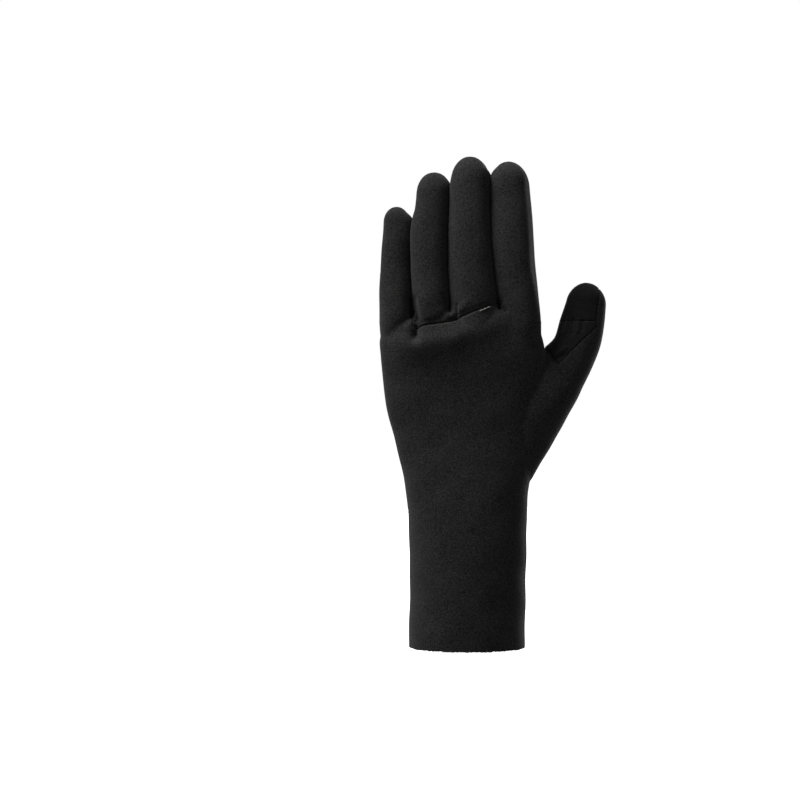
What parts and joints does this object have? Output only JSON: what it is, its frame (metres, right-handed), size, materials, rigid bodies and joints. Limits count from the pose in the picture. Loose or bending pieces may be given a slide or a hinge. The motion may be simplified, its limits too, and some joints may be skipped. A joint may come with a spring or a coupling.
{
  "type": "diving glove",
  "caption": "Left-hand neoprene diving glove with a long cuff, filled out as when worn, cut from panels of foam sheet and open at the wrist",
  "frame": {"origin": "middle of the cuff's opening, in the plane of the back panel's hem, where the wrist goes in", "axes": "+Z from the cuff to the fingertips, -Y out of the back of the hand, +Y out of the palm, thumb towards +X"},
  "size_m": [0.1329, 0.057, 0.2907],
  "materials": {
    "back_jersey": "matte black nylon jersey on neoprene foam, fine knit",
    "palm_jersey": "smoother, darker black jersey on neoprene foam",
    "seam_thread": "pale grey sewing thread",
    "foam_edge": "raw cut edge of closed-cell foam"
  },
  "bodies": {
    "root": {"back_panel": "back_jersey", "middle_ring_panel": "back_jersey", "palm_panel": "palm_jersey", "thumb_gusset": "palm_jersey", "cuff_panel": "palm_jersey"}
  },
  "joints": []
}
